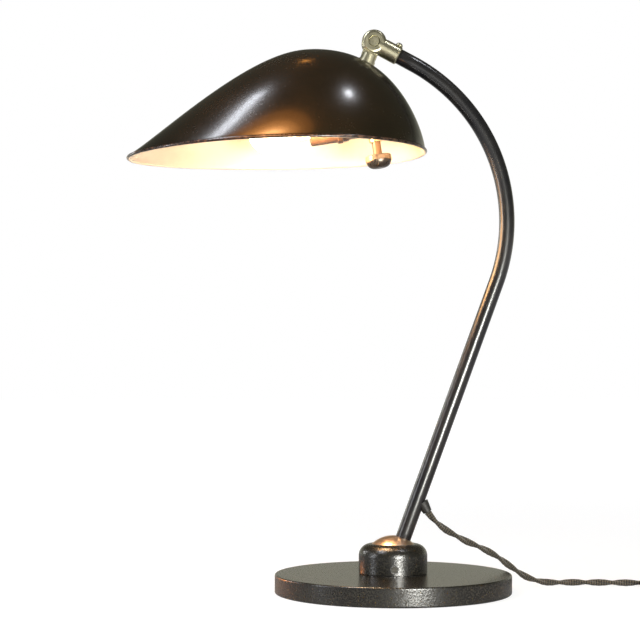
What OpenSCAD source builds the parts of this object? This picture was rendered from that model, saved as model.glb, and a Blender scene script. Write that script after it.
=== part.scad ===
// Desk lamp with a weighted round base, a bent tube arm on a domed pivot, and an oval metal shade.
// Millimetres. The origin is the centre of the base's underside, +Z is up,
// the arm bends in the X-Z plane and the shade hangs towards -X.

/* [Base] */
// Diameter of the cast base
base_d = 200; // [180:1:230]
// Height of the base's top face above the table
base_h = 16.5; // [15:0.5:22]
// Radius of the base's upper and lower edge
base_edge = 1.4; // [0.5:0.1:2.5]
// Thickness of the felt pad
felt_t = 1.6; // [1:0.1:2.2]
// How far the iron rim stands above the table
rim_lift = 0.4; // [0.2:0.1:0.8]
// Width of the iron rim round the felt
rim_w = 8; // [5:0.5:14]

/* [Hub] */
// Outer diameter of the hub
hub_d = 58; // [57:0.5:64]
// Height of the hub above the base
hub_h = 25.2; // [24:0.2:28]
// Radius of the hub's rounded shoulder
shoulder_r = 10; // [7:0.5:10.5]
// Height of the tilting axis above the base
pivot_h = 6.1; // [6:0.1:7]
// Thickness of the plate that the hub turns on
plate_t = 2.8; // [2.2:0.1:3.2]
// Diameter of the stud that the hub turns on
stud_d = 8; // [6:0.5:9]

/* [Arm] */
// Outer diameter of the dome that tilts in the hub
dome_d = 52; // [51:0.5:53]
// Wall of the dome
dome_wall = 3.5; // [2.5:0.1:4]
// Diameter of the tilting pin
pin_d = 5; // [4:0.1:5.4]
// Lean of the arm from upright
lean = 20; // [16:0.5:20]
// Outer diameter of the arm tube
tube_d = 13; // [12:0.1:13.2]
// Wall of the arm tube
tube_wall = 1.2; // [1:0.1:1.6]
// Straight length from the tilting axis to the bend
straight_len = 254.8; // [230:1:280]
// Radius of the bend, to the tube's centre line
bend_r = 151.4; // [140:1:165]
// Angle that the tube turns through
bend_angle = 81.7; // [76:0.1:84]
// Straight length from the bend to the knuckle's axis
top_len = 37.2; // [36:0.1:50]
// Height of the cord outlet along the tube, from the tilting axis
outlet_s = 63; // [60:1:64]

/* [Knuckle] */
// Diameter of the knuckle's head
head_d = 20.8; // [20.4:0.2:22]
// Width of the knuckle's head, across the cheeks
head_w = 15; // [14:0.2:17]
// Thickness of the tongue
tongue_t = 5.6; // [4.6:0.1:6]
// Outer diameter of the sleeve over the tube
sleeve_d = 15.5; // [15.2:0.1:16]
// Length from the knuckle's axis to the end of the sleeve
sleeve_len = 23.8; // [22:0.5:27]
// Diameter of the knuckle's screw
screw_d = 5; // [4:0.1:5.4]
// Diameter of the stem that carries the shade
stem_d = 13; // [12:0.1:13.4]
// Tilt of the stem from upright
stem_tilt = 21; // [20:0.5:22]
// Length from the knuckle's axis to the shade's outer face
stem_len = 18.3; // [17.8:0.1:18.6]

/* [Shade] */
// Half length of the rim
rim_a = 125.1; // [118:0.5:130]
// Half width of the rim
rim_b = 88.6; // [80:0.5:95]
// How much fuller the rim is at its back than at its front
rim_egg = 0.115; // [0.05:0.01:0.18]
// Height of the shade's dome above its rim
dome_h = 87.2; // [84:0.2:90]
// Thickness of the sheet
sheet_t = 1.1; // [0.9:0.1:1.3]
// Radius of the rolled bead at the rim
bead_r = 1.4; // [1.2:0.1:1.7]

/* [Lampholder] */
// Outer diameter of the lampholder
holder_d = 39; // [38:0.5:41]
// Wall of the lampholder's skirt
holder_wall = 3; // [2.4:0.1:3.4]
// Length from the switch axis to the front of the skirt
holder_front = 54.7; // [52:0.5:57]
// Length from the switch axis to the back of the cap
holder_back = 17; // [15:0.5:18]
// Droop of the lampholder's front below level
holder_droop = 8.8; // [8:0.2:10]
// Diameter of the lamp bulb
bulb_d = 46; // [40:0.5:48]
// Diameter of the switch key's spindle
key_d = 7.6; // [6:0.1:8]
// Diameter of the switch key's knob
knob_d = 22; // [18:0.5:24]
// Height of the switch key's knob
knob_h = 10.8; // [9:0.2:12]

/* [Cord] */
// Diameter of the two-core flex
cord_d = 6; // [5.4:0.1:6.2]
// Turns of the stored coil
coil_turns = 7.25; // [4.25:1:7.25]
// Gap between turns that lie side by side or on each other
coil_gap = 0.6; // [0.5:0.1:1.2]
// Middle diameter of the coil's turns
coil_mid_d = 70; // [70:1:76]

/* [Fits] */
// Sliding gap between pieces that turn on each other
run_gap = 0.1; // [0.06:0.01:0.15]
// Free gap round pieces that pass each other
free_gap = 0.3; // [0.25:0.05:0.4]
// Radial clearance of a pin in its bore
pin_gap = 0.05; // [0.02:0.01:0.1]

/* [Hidden] */
$fn = 64;
over = 1;

// Heights in the base and hub
pivot_z = base_h + pivot_h;
hub_z = base_h + run_gap;
hub_r = hub_d / 2;
hub_top = base_h + hub_h;
plate_r = hub_r - 1;
plate_z = hub_z - plate_t;
pocket_z = plate_z - run_gap;
flange_t = 2.3;
flange_r = 18;
dome_r = dome_d / 2;
cavity_r = dome_r + free_gap;
dome_cut = 6;
eye_r = 5.3;
eye_w = 16;
boss_r = 9.5;
tube_seat = 10;
tube_r = tube_d / 2;
bore_r = tube_r - tube_wall;
spring_t = 1.6;
spacer_r = 4.1;
pin_head_r = 2.5;
pin_head_t = 1.6;
pin_sink_r = 3.4;
plate_screw_r = 22;
plate_screw_d = 3;
plate_screw_n = 3;

// Stack on the stud, under the base
nut_room_r = 15;
nut_room_z = 9;
washer_t = 1.2;
cone_t = 1.5;
nut_t = 3.6;
nut_across = 13;

// Arm path: the bend's start, centre and end, and the knuckle's axis
top_dir = lean - bend_angle;
bend_from = [straight_len * sin(lean), pivot_z + straight_len * cos(lean)];
bend_mid = bend_from + bend_r * [-cos(lean), sin(lean)];
bend_to = bend_mid + bend_r * [cos(top_dir), -sin(top_dir)];
knuckle = bend_to + top_len * [sin(top_dir), cos(top_dir)];

// Cord outlet in the tube
outlet_dir = 130;
outlet_len = 15.3;
outlet_r = 3.2;

// Knuckle
shim_t = 0.4;
slot_w = tongue_t + 2 * (shim_t + run_gap);
cheek_cut = 8.2;
tongue_r = 9.2;
slot_floor = tongue_r + free_gap;
shoulder_s = head_d / 2 + 0.5;
sink_r = 5;
sink_t = 2.4;
tube_stop = 12;
lead_r = 2.2;
sleeve_screw_s = sleeve_len - 3.8;

// Shade: rim and dome, worked out from the knuckle's place and the stem's seat
rim_slope = 0.023;
rim_bow = 1.9;
rim_back = 82.05;
apex_back = 54.8;
shade_x = knuckle[0] - rim_back;
apex_x = knuckle[0] - apex_back;
seat_at = knuckle - stem_len * [sin(stem_tilt), cos(stem_tilt)];
crest_run = rim_x(0) - apex_x;
crest_h = dome_h - rim_slope * crest_run;
seat_s = (seat_at[0] - apex_x) / crest_run;
apex_z = seat_at[1] + crest_h * (1 - rise(0, seat_s));
seat_slope = atan(crest_h * (rise(0, seat_s - 0.01) - rise(0, seat_s + 0.01)) / (0.02 * crest_run));
seat_tilt = seat_slope - stem_tilt;
shade_rings = 60;
shade_levels = 14;

// Seat of the stem on the shade
seat_r = 7;
nipple_r = 4;
nipple_len = 14;
nipple_bore = 2.6;
nipple_nut_across = 12;
strip_w = 14;
strip_t = 2;

// Lampholder: the switch axis crosses the holder's axis here
switch_back = 2;
switch_drop = 60;
switch_at = knuckle - [switch_back, switch_drop];
holder_r = holder_d / 2;
cap_len = 22;
thread_r = 13.6;
thread_from = 26;
thread_len = 24;
bulb_r = bulb_d / 2;
bulb_s = holder_front + 28.5;
neck_r = 12.4;
knob_s = 35.5;
knob_round = 7;
bush_s = 24;
bush_r = 5.6;

// Cord: the free stretch's own points, chosen by hand, from the outlet to the coil
cord_r = cord_d / 2;
cord_path = [
    [29.4, 0, 68.2], [34, 1, 62.4], [40, 2, 56.8], [47, 4, 51.6], [55, 7, 47], [63, 10, 42.6],
    [72, 14, 38.4], [82, 19, 33.4], [92, 24, 27.2], [101, 30, 20.4], [110, 35, 13.8],
    [119, 39, 8.4], [129, 43, 4.8], [140, 46, 3.2], [152, 48, 3], [164, 48.5, 3],
    [176, 48, 3], [188, 47, 3], [200, 46, 3], [212, 45.2, 3], [224, 45, 3], [236, 45, 3],
    [249, 45, 3]];
coil_pitch = cord_d + coil_gap;
climb_turn = 0.5;
layer_turns = (coil_turns - climb_turn) / 2;
coil_in = coil_mid_d / 2 - coil_pitch * layer_turns / 2;
coil_at = cord_path[len(cord_path) - 1] + [12, -coil_in - coil_pitch * layer_turns, 0];
loop_rings = 24;
coil_rings = ceil(coil_turns * loop_rings);
plug_len = 36;
plug_w = 35;
plug_t = 13.6;
plug_pin_r = 2;
plug_pin_len = 19;
plug_pin_gap = 18.6;

// Places
module at_pivot() translate([0, 0, pivot_z]) rotate([0, lean, 0]) children();
module at_knuckle() translate([knuckle[0], 0, knuckle[1]]) rotate([0, 180 + top_dir, 0]) children();
module at_stem() translate([knuckle[0], 0, knuckle[1]]) rotate([0, stem_tilt, 0]) children();
module at_holder() translate([switch_at[0], 0, switch_at[1]]) rotate([0, -90 - holder_droop, 0])
    children();
module along_y() rotate([-90, 0, 0]) children();
module along_x() rotate([0, 90, 0]) children();

// A ring, centred on the axis, standing on z = 0
module ring(r, hole, h) {
    difference() {
        cylinder(r = r, h = h);
        translate([0, 0, -over]) cylinder(r = hole, h = h + 2 * over);
    }
}

// Base
module base_profile() {
    r = base_d / 2;
    square_r = r - base_edge;
    translate([0, rim_lift]) square([square_r, base_h - rim_lift]);
    translate([0, rim_lift + base_edge]) square([r, base_h - rim_lift - 2 * base_edge]);
    for (z = [rim_lift + base_edge, base_h - base_edge])
        translate([square_r, z]) circle(base_edge);
}

module base_plate() {
    color("#1c1a1a") difference() {
        rotate_extrude($fn = 128) intersection() {
            base_profile();
            square([base_d, base_h]);
        }
        translate([0, 0, -over]) cylinder(r = base_d / 2 - rim_w, h = felt_t + over);
        translate([0, 0, -over]) cylinder(r = nut_room_r, h = nut_room_z + over);
        cylinder(r = stud_d / 2 + run_gap, h = base_h + over);
        translate([0, 0, pocket_z]) cylinder(r = plate_r + free_gap, h = base_h);
    }
}

module felt_pad() {
    color("#23402c") cylinder(r = base_d / 2 - rim_w - 0.2, h = felt_t);
}

// Hub
module hub_profile() {
    h = hub_top - hub_z;
    difference() {
        union() {
            translate([0, hub_z]) square([hub_r, h - shoulder_r]);
            translate([0, hub_z]) square([hub_r - shoulder_r, h]);
            translate([hub_r - shoulder_r, hub_top - shoulder_r]) circle(shoulder_r);
        }
        translate([0, pivot_z]) circle(cavity_r, $fn = 96);
        translate([0, hub_z + flange_t]) square([cavity_r, pivot_z - hub_z - flange_t]);
        translate([0, hub_z - over]) square([flange_r, pivot_z - hub_z]);
        translate([-hub_r, 0]) square([hub_r, hub_top + over]);
        translate([hub_r, hub_z]) rotate(45) square(1.1, center = true);
    }
}

module hub_housing() {
    color("#1a1818") difference() {
        rotate_extrude($fn = 96) hub_profile();
        translate([0, -hub_r - over, pivot_z]) along_y() {
            cylinder(r = pin_d / 2 + pin_gap, h = hub_d + 2 * over);
            cylinder(r = pin_sink_r, h = over + pin_head_t);
        }
        for (k = [0 : plate_screw_n - 1]) rotate(60 + k * 360 / plate_screw_n)
            translate([plate_screw_r, 0, hub_z - over]) cylinder(d = plate_screw_d, h = flange_t + over);
    }
}

module plate_screw_shape(gap) {
    cylinder(d = plate_screw_d + gap, h = plate_t + flange_t - 0.3);
    cylinder(d1 = 2 * plate_screw_d + gap, d2 = plate_screw_d + gap, h = plate_screw_d / 2);
}

module swivel_plate() {
    color("#8d8a84") difference() {
        translate([0, 0, plate_z]) cylinder(r = plate_r, h = plate_t);
        translate([0, 0, plate_z - over]) cylinder(d = stud_d, h = plate_t + 2 * over);
        translate([0, 0, hub_z - stud_d / 4]) cylinder(d1 = stud_d, d2 = 1.5 * stud_d, h = stud_d / 4);
        for (k = [0 : plate_screw_n - 1]) rotate(60 + k * 360 / plate_screw_n)
            translate([plate_screw_r, 0, plate_z]) plate_screw_shape(0.1);
    }
}

module plate_screws() {
    color("#a9a59c") for (k = [0 : plate_screw_n - 1]) rotate(60 + k * 360 / plate_screw_n)
        translate([plate_screw_r, 0, plate_z]) difference() {
            plate_screw_shape(0);
            cube([0.8, 2 * plate_screw_d, 1.2], center = true);
        }
}

stud_foot = felt_t + 0.6;
module swivel_stud() {
    color("#a9a59c") {
        translate([0, 0, stud_foot]) cylinder(d = stud_d, h = hub_z - stud_foot - 0.05);
        translate([0, 0, hub_z - stud_d / 4]) cylinder(d1 = stud_d, d2 = 1.5 * stud_d - 0.1,
            h = stud_d / 4 - 0.05);
    }
}

flat_z = nut_room_z - run_gap - washer_t;
module flat_washer() {
    color("#a9a59c") translate([0, 0, flat_z]) ring(11, stud_d / 2 + pin_gap, washer_t);
}

// A slightly coned spring washer
module cone_ring(r, hole, h, t) {
    rotate_extrude() polygon([[hole, 0], [hole, t], [r, h], [r, h - t]]);
}

cone_z = flat_z - cone_t;
module cone_washer() {
    color("#8d8a84") translate([0, 0, cone_z]) cone_ring(9, stud_d / 2 + pin_gap, cone_t, 0.9);
}

module swivel_nut() {
    color("#a9a59c") translate([0, 0, cone_z - nut_t]) difference() {
        cylinder(d = nut_across / cos(30), h = nut_t, $fn = 6);
        translate([0, 0, -over]) cylinder(d = stud_d + 2 * pin_gap, h = nut_t + 2 * over);
    }
}

// Tilting pin, from the recess at the front to the thread at the back
pin_front = -hub_r + 0.9;
module tilt_pin() {
    color("#c9c3b4") translate([0, 0, pivot_z]) difference() {
        union() {
            translate([0, pin_front, 0]) along_y() cylinder(d = pin_d, h = hub_r - pin_front - 0.4);
            translate([0, pin_front + 0.4, 0]) along_y()
                cylinder(r = pin_head_r, h = pin_head_t);
        }
        translate([0, pin_front, 0]) cube([pin_head_r * 3, 1.2, 0.7], center = true);
    }
}

module both_sides() {
    children();
    mirror([0, 1, 0]) children();
}

module pin_springs() {
    color("#8d8a84") translate([0, 0, pivot_z]) both_sides()
        translate([0, eye_w / 2 + 0.15, 0]) along_y()
            cone_ring(eye_r - 0.3, pin_d / 2 + pin_gap, spring_t, 0.9);
}

module pin_spacers() {
    from = eye_w / 2 + 0.15 + spring_t;
    to = sqrt(pow(cavity_r, 2) - pow(spacer_r, 2)) - 0.1;
    color("#a9a59c") translate([0, 0, pivot_z]) both_sides()
        translate([0, from, 0]) along_y() ring(spacer_r, pin_d / 2 + pin_gap, to - from);
}

// Arm
module arm_dome() {
    color("#b9a68f") at_pivot() difference() {
        union() {
            intersection() {
                difference() {
                    sphere(dome_r, $fn = 96);
                    sphere(dome_r - dome_wall, $fn = 96);
                }
                translate([0, 0, dome_cut + dome_r]) cube(2 * dome_r, center = true);
            }
            translate([0, 0, eye_r]) cylinder(r = boss_r, h = dome_r - eye_r - dome_wall / 2);
            translate([0, -eye_w / 2, 0]) along_y() cylinder(r = eye_r, h = eye_w);
            translate([-eye_r, -eye_w / 2, 0]) cube([2 * eye_r, eye_w, eye_r + over]);
        }
        translate([0, -eye_w, 0]) along_y() cylinder(r = pin_d / 2 + pin_gap, h = 2 * eye_w);
        translate([0, 0, tube_seat]) cylinder(r = tube_r + pin_gap / 2, h = dome_r);
    }
}

// A rod or bore that follows the arm's centre line, from a distance along the tube to the knuckle
module arm_line(r, from, to) {
    translate([bend_mid[0], 0, bend_mid[1]]) rotate([90, 0, 0]) rotate(-lean) {
        translate([bend_r, 0, 0]) rotate([90, 0, 0]) cylinder(r = r, h = straight_len - from);
        rotate_extrude(angle = bend_angle, $fn = 180) translate([bend_r, 0]) circle(r, $fn = 64);
        rotate(bend_angle) translate([bend_r, -0.04, 0]) rotate([-90, 0, 0]) cylinder(r = r, h = top_len - to + 0.04);
    }
}

// The slanting outlet, out of the tube's rear
module at_outlet() at_pivot() translate([0, 0, outlet_s]) rotate([0, outlet_dir, 0]) children();

module arm_tube() {
    color("#141313") difference() {
        arm_line(tube_r, tube_seat, tube_stop + pin_gap);
        arm_line(bore_r, tube_seat - over, tube_stop - over);
        at_outlet() cylinder(r = outlet_r + 0.9, h = outlet_len);
    }
}

// Rubber bush round the flex, tapered, in the slanting outlet
module cord_bush() {
    wall_s = 6.2;
    color("#1d1c1b") at_outlet() difference() {
        union() {
            translate([0, 0, wall_s]) cylinder(r = outlet_r + 0.8, h = 4);
            difference() {
                translate([0, 0, wall_s]) cylinder(r1 = outlet_r + 2, r2 = outlet_r + 0.6,
                    h = outlet_len - wall_s);
                rotate([0, -outlet_dir, 0]) cylinder(r = tube_r + 0.02, h = 4 * outlet_len, center = true);
            }
        }
        translate([0, 0, wall_s - over]) cylinder(r = cord_r + 0.1, h = outlet_len);
        rotate([0, -outlet_dir, 0]) cylinder(r = bore_r, h = 4 * outlet_len, center = true);
    }
}

// The flex inside the arm, from the bush to the knuckle
module arm_flex() {
    color("#3a3026") {
        arm_line(lead_r, outlet_s, slot_floor + free_gap);
        at_outlet() sphere(lead_r + 0.3);
        translate([bend_to[0], 0, bend_to[1]]) sphere(lead_r + 0.1);
        at_outlet() cylinder(r = lead_r, h = outlet_len - 0.4);
    }
}

// Knuckle on the arm's end
module head_solid() {
    round_r = 3.2;
    r = head_d / 2;
    translate([0, -head_w / 2, 0]) along_y() rotate_extrude() difference() {
        union() {
            square([r - round_r, head_w]);
            translate([0, round_r]) square([r, head_w - 2 * round_r]);
            for (z = [round_r, head_w - round_r]) translate([r - round_r, z]) circle(round_r);
        }
        translate([-r, -over]) square([r, head_w + 2 * over]);
    }
}

module knuckle_fork() {
    color("#b8a88c") at_knuckle() difference() {
        union() {
            intersection() {
                head_solid();
                translate([cheek_cut - head_d, -head_w, -head_d]) cube([head_d, 2 * head_w, 2 * head_d]);
            }
            cylinder(d = sleeve_d, h = sleeve_len - 0.8);
            translate([0, 0, sleeve_len - 0.8]) cylinder(d1 = sleeve_d, d2 = sleeve_d - 1.4, h = 0.8);
        }
        translate([-head_d, -slot_w / 2, -head_d]) cube([2 * head_d, slot_w, head_d + slot_floor]);
        translate([0, 0, slot_floor - over]) cylinder(r = lead_r + 0.6, h = sleeve_len);
        translate([0, 0, tube_stop]) cylinder(r = tube_r + pin_gap, h = sleeve_len);
        translate([0, -head_w, 0]) along_y() cylinder(r = screw_d / 2 + pin_gap, h = 2 * head_w);
        for (side = [0, 1]) mirror([0, side, 0]) translate([0, -head_w / 2 - over, 0]) along_y()
            cylinder(r = sink_r, h = sink_t + over);
        translate([-sleeve_d, 0, sleeve_screw_s]) along_x() cylinder(d = 3, h = sleeve_d);
    }
}

module knuckle_screw() {
    color("#c8bda4") at_knuckle() translate([0, -head_w / 2, 0]) along_y() difference() {
        union() {
            translate([0, 0, 0.7]) cylinder(r = sink_r - 0.8, h = sink_t - 0.7 - 0.05);
            translate([0, 0, 0.3]) cylinder(r1 = sink_r - 1.2, r2 = sink_r - 0.8, h = 0.4);
            translate([0, 0, 0.9]) cylinder(d = screw_d, h = head_w - 1.5);
        }
        translate([0, 0, 0.3]) cube([0.6, 3 * sink_r, 1.4], center = true);
    }
}

module knuckle_nut() {
    color("#c8bda4") at_knuckle() translate([0, head_w / 2, 0]) along_y()
        translate([0, 0, -sink_t + 0.05]) difference() {
            cylinder(r = sink_r - 0.4, h = sink_t - 0.3);
            translate([0, 0, -over]) cylinder(r = screw_d / 2 + pin_gap, h = sink_t + 2 * over);
            for (a = [0, 180]) rotate(a) translate([sink_r - 0.4, 0, sink_t]) cube([2.4, 1.2, 2.2], center = true);
        }
}

module knuckle_washers() {
    color("#8d8a84") at_knuckle() both_sides() translate([0, tongue_t / 2 + run_gap / 2, 0])
        along_y() ring(7, screw_d / 2 + pin_gap, shim_t);
}

// Round-headed screw that holds the sleeve on the tube
module sleeve_screw() {
    head_r = 3;
    color("#c8bda4") at_knuckle() translate([-sleeve_d / 2, 0, sleeve_screw_s]) rotate([0, -90, 0])
        difference() {
            union() {
                translate([0, 0, 0.1]) cylinder(r = head_r, h = 0.9);
                translate([0, 0, 1]) intersection() {
                    translate([0, 0, -1.6]) sphere(sqrt(pow(head_r, 2) + pow(1.6, 2)));
                    cylinder(r = head_r, h = 2 * head_r);
                }
                translate([0, 0, -0.95]) cylinder(d = 2.9, h = 1.2);
            }
            translate([0, 0, 2]) cube([0.6, 3 * head_r, 1.2], center = true);
        }
}

// Tongue, stem and threaded nipple that carry the shade
module shade_tongue() {
    color("#a99c86") at_stem() difference() {
        union() {
            intersection() {
                union() {
                    translate([0, -tongue_t / 2, 0]) along_y() cylinder(r = tongue_r, h = tongue_t);
                    translate([-stem_d / 2, -tongue_t / 2, -shoulder_s - 2])
                        cube([stem_d, tongue_t, shoulder_s + 2]);
                }
                translate([0, 0, -shoulder_s - 2 * over]) cylinder(r = head_d, h = 2 * head_d);
            }
            translate([0, 0, -stem_len + 2.6]) cylinder(d = stem_d, h = stem_len - 2.6 - shoulder_s);
            translate([0, 0, -stem_len - nipple_len]) cylinder(r = nipple_r, h = nipple_len + 4);
        }
        translate([0, -tongue_r, 0]) along_y() cylinder(r = screw_d / 2 + pin_gap, h = 2 * tongue_r);
        translate([0, 0, -stem_len - nipple_len - over]) cylinder(r = nipple_bore, h = nipple_len + stem_len - 6);
    }
}

// Two wedges turn the stem's slant into the shade's slope, one above and one below the sheet
module slope_cut(z, up) {
    big = 60;
    translate([0, 0, z]) rotate([0, seat_tilt, 0]) translate([-big / 2, -big / 2, up ? 0 : -big]) cube(big);
}

module seat_wedge() {
    top = -stem_len + 2.55;
    color("#c8bda4") at_stem() difference() {
        translate([0, 0, top - 5]) ring(seat_r, nipple_r + pin_gap, 5);
        slope_cut(-stem_len + 0.3, false);
    }
}

inner_z = -stem_len - sheet_t - 6;
module inner_wedge() {
    color("#8d8a84") at_stem() difference() {
        translate([0, 0, inner_z]) ring(seat_r, nipple_r + pin_gap, 9);
        slope_cut(-stem_len - sheet_t - 0.6, true);
    }
}

module nipple_nut() {
    color("#a9a59c") at_stem() translate([0, 0, inner_z - strip_t - 3.25]) difference() {
        cylinder(d = nipple_nut_across / cos(30), h = 3.2, $fn = 6);
        translate([0, 0, -over]) cylinder(r = nipple_r + pin_gap, h = 3.2 + 2 * over);
    }
}

// Shade: outer and inner faces are lofted from the dome's top to an egg-shaped rim
function back(a) = (1 + cos(a)) / 2;
function rim_x(a) = shade_x + rim_a * cos(a);
function rim_y(a) = rim_b * sin(a) * (1 + rim_egg * cos(a));
function rim_z(a) = apex_z - dome_h + rim_slope * (rim_x(a) - apex_x) + rim_bow * pow(sin(a), 2);
function rise_p(a) = 1.55 + 1.045 * back(a);
function rise_e(a) = 1.134 - 0.421 * (1 - pow(1 - back(a), 3));
function rise(a, s) = pow(max(0, 1 - pow(s, rise_p(a))), rise_e(a));
function level(j) = sin(90 * j / shade_levels);
function out_dir(a) = let (d = [rim_x(a) - apex_x, rim_y(a)]) d / norm(d);
function face_point(a, s, inset, low) =
    let (edge = [rim_x(a), rim_y(a)] - inset * out_dir(a), foot = rim_z(a) + low)
    [apex_x + s * (edge[0] - apex_x), s * edge[1], foot + (apex_z - inset - foot) * rise(a, s)];
function bead_point(a, turn) =
    let (d = out_dir(a), mid = [rim_x(a), rim_y(a)] + (bead_r - sheet_t) * d)
    [mid[0] + bead_r * cos(turn) * d[0], mid[1] + bead_r * cos(turn) * d[1], rim_z(a) + bead_r * sin(turn)];
function shade_section(a) = concat(
    [for (j = [1 : shade_levels]) face_point(a, level(j), sheet_t, 0)],
    [for (turn = [225, 270, 315, 0, 45]) bead_point(a, turn)],
    [for (j = [shade_levels : -1 : 1]) face_point(a, level(j), 0, bead_r)]);

// Faces between closed rings of n points, k rings in all, open or closed round the last ring
function skin(k, n) = [for (i = [0 : k - 1], j = [0 : n - 2], half = [0, 1])
    let (p = i * n + j, q = ((i + 1) % k) * n + j) half == 0 ? [p, p + 1, q] : [p + 1, q + 1, q]];

module shade_shell() {
    sections = [for (i = [0 : shade_rings - 1]) shade_section(i * 360 / shade_rings)];
    n = len(sections[0]);
    points = concat([for (s = sections) each s], [[apex_x, 0, apex_z - sheet_t], [apex_x, 0, apex_z]]);
    under = shade_rings * n;
    caps = [for (i = [0 : shade_rings - 1], top = [0, 1])
        let (p = i * n, q = ((i + 1) % shade_rings) * n)
        top == 0 ? [under, p, q] : [under + 1, q + n - 1, p + n - 1]];
    color("#241a17") difference() {
        polyhedron(points, concat(skin(shade_rings, n), caps), convexity = 6);
        at_stem() translate([0, 0, -stem_len - nipple_r]) cylinder(r = nipple_r + free_gap, h = 2 * nipple_r);
    }
}

// Strip from the nipple to the back of the lampholder, along the inside of the dome
function stem_at(x, z) = knuckle + x * [cos(stem_tilt), -sin(stem_tilt)] + z * [sin(stem_tilt), cos(stem_tilt)];
function holder_at(x, z) =
    switch_at - z * [cos(holder_droop), sin(holder_droop)] + x * [-sin(holder_droop), cos(holder_droop)];
function left_of(d) = [-d[1], d[0]] / norm(d);
function mitre(p, i) =
    let (a = left_of(p[max(i, 1)] - p[max(i, 1) - 1]))
    let (b = left_of(p[min(i + 1, len(p) - 1)] - p[min(i, len(p) - 2)]))
    (a + b) / ((a + b) * b);
function band(p, w) = concat([for (i = [0 : len(p) - 1]) p[i] + w / 2 * mitre(p, i)],
    [for (i = [len(p) - 1 : -1 : 0]) p[i] - w / 2 * mitre(p, i)]);

module holder_strip() {
    top = inner_z - strip_t / 2 - 0.02;
    back = strip_back + strip_t / 2;
    leg = 7.6;
    color("#8d8a84") difference() {
        translate([0, strip_w / 2, 0]) rotate([90, 0, 0]) linear_extrude(strip_w)
            polygon(band([stem_at(-seat_r, top), stem_at(leg, top), holder_at(leg, back), holder_at(-leg, back)],
                strip_t));
        at_stem() translate([0, 0, top]) cylinder(r = nipple_r + pin_gap, h = 4 * strip_t, center = true);
        at_holder() translate([0, 0, back]) cylinder(r = nipple_r + pin_gap, h = 4 * strip_t, center = true);
    }
}

strip_back = -holder_back - 7.6;
module holder_nipple() {
    color("#a9a59c") at_holder() translate([0, 0, strip_back - 3.4]) ring(nipple_r, nipple_bore, 16);
}

module holder_nut() {
    color("#a9a59c") at_holder() for (z = [strip_back - 3.1, strip_back + strip_t + 0.1])
        translate([0, 0, z]) difference() {
            cylinder(d = nipple_nut_across / cos(30), h = 3, $fn = 6);
            translate([0, 0, -over]) cylinder(r = nipple_r + pin_gap, h = 3 + 2 * over);
        }
}

// Lampholder
module holder_cap() {
    round_r = 6;
    neck = 8;
    color("#3a2217") at_holder() difference() {
        rotate_extrude() difference() {
            union() {
                translate([0, -holder_back]) square([holder_r - 1 - round_r, holder_back + cap_len]);
                translate([0, -holder_back + round_r]) square([holder_r - 1, holder_back + cap_len - round_r]);
                translate([holder_r - 1 - round_r, -holder_back + round_r]) circle(round_r);
                translate([0, -holder_back - 2.4]) square([neck, 4]);
            }
            translate([-holder_d, -holder_d]) square([holder_d, 3 * holder_d]);
            translate([0, -holder_back + holder_wall]) square([holder_r - 1 - holder_wall, holder_back + cap_len]);
        }
        translate([0, 0, -holder_back - holder_wall - over]) cylinder(r = nipple_r + pin_gap, h = 3 * holder_wall);
        rotate([0, -90, 0]) cylinder(r = bush_r - 0.95, h = holder_d);
    }
}

module holder_skirt() {
    color("#3a2217") at_holder() difference() {
        rotate_extrude() polygon([[holder_r - holder_wall, cap_len + 0.1], [holder_r, cap_len + 0.1],
            [holder_r, holder_front - 1], [holder_r - 1, holder_front], [holder_r - holder_wall, holder_front]]);
    }
}

module skirt_ring() {
    color("#4a2d1d") at_holder() translate([0, 0, cap_len + 5]) rotate_extrude() difference() {
        translate([holder_r + 0.05, 0]) square([1.1, 5]);
        for (z = [0, 5]) translate([holder_r + 1.15, z]) rotate(45) square(0.9, center = true);
    }
}

module thread_shell() {
    ribs = 5;
    color("#b99a4e") at_holder() rotate_extrude() difference() {
        union() {
            translate([thread_r, thread_from]) square([0.9, thread_len]);
            for (k = [0 : ribs - 1]) translate([thread_r + 0.7, thread_from + 3 + k * 3.6]) circle(0.9, $fn = 24);
        }
        translate([thread_r - 1.5, thread_from - over]) square([1.5, thread_len + 2 * over]);
    }
}

module contact_block() {
    color("#e6e0d2") at_holder() difference() {
        union() {
            translate([0, 0, 9]) cylinder(r = holder_r - 1 - holder_wall - 0.1, h = 13);
            translate([0, 0, 22]) cylinder(r = thread_r + 1.2, h = 3.9);
        }
        translate([0, 0, 22]) cylinder(r = 8, h = 5);
        for (y = [-9, 9]) translate([0, y, 0]) cylinder(r = 1.8, h = 15);
        rotate([0, -90, 0]) cylinder(r = key_d / 2 + 0.6, h = holder_d);
    }
}

module centre_contact() {
    color("#c8a553") at_holder() {
        translate([-6, -2.5, 22.1]) cube([12, 5, 0.6]);
        translate([-5, -2.5, 22.5]) rotate([0, -25, 0]) cube([7, 5, 0.45]);
    }
}

// Two leads, from the nipple in the strip to the terminals
module holder_leads() {
    color("#5a4a36") at_holder() for (side = [-1, 1]) {
        translate([0, side * 1.35, -holder_back - 10]) cylinder(r = 1.1, h = holder_back + 7);
        translate([0, side * 1.35, -3]) sphere(1.2);
        translate([0, side * 1.35, -3]) rotate([-side * 32.5, 0, 0]) cylinder(r = 1.1, h = 14);
    }
}

// Switch in the back of the holder, with its key pointing down
module key_axis() at_holder() rotate([0, -90, 0]) children();

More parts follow.
